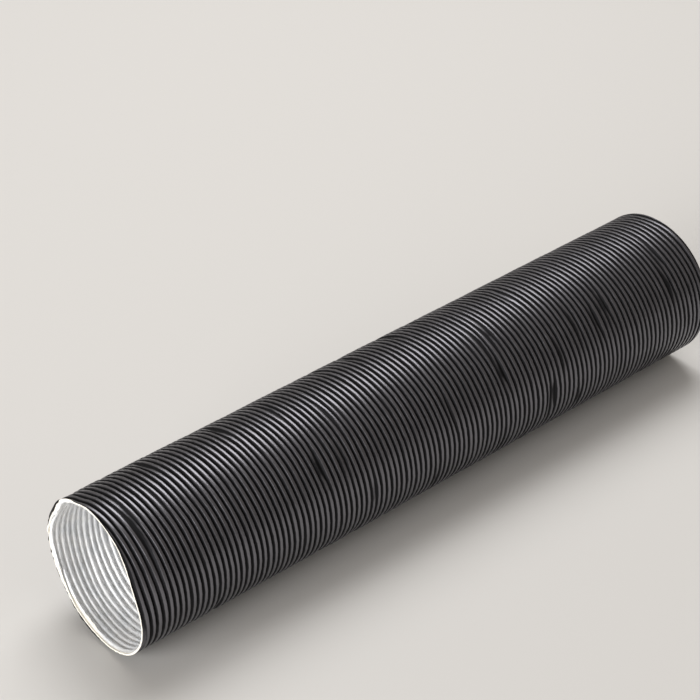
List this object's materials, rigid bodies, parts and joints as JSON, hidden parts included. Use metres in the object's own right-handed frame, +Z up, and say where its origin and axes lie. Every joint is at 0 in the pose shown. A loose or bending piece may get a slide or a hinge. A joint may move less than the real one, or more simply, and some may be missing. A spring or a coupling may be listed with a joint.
{
  "type": "heater duct hose",
  "caption": "Corrugated heater duct hose cut to length: black outer ply, kraft paper and an aluminium foil liner, open at both ends.",
  "frame": {"origin": "centre of the hose's length, on the floor under its lowest ribs", "axes": "+X along the hose towards its rear end, with the pictured mouth at -X; +Z up"},
  "size_m": [0.305, 0.0632, 0.0632],
  "materials": {
    "black_lacquer": "satin",
    "kraft_paper": "matte",
    "foil": "satin"
  },
  "bodies": {
    "root": {"black_outer_ply": "black_lacquer", "kraft_paper_ply": "kraft_paper", "foil_liner": "foil"}
  },
  "joints": []
}
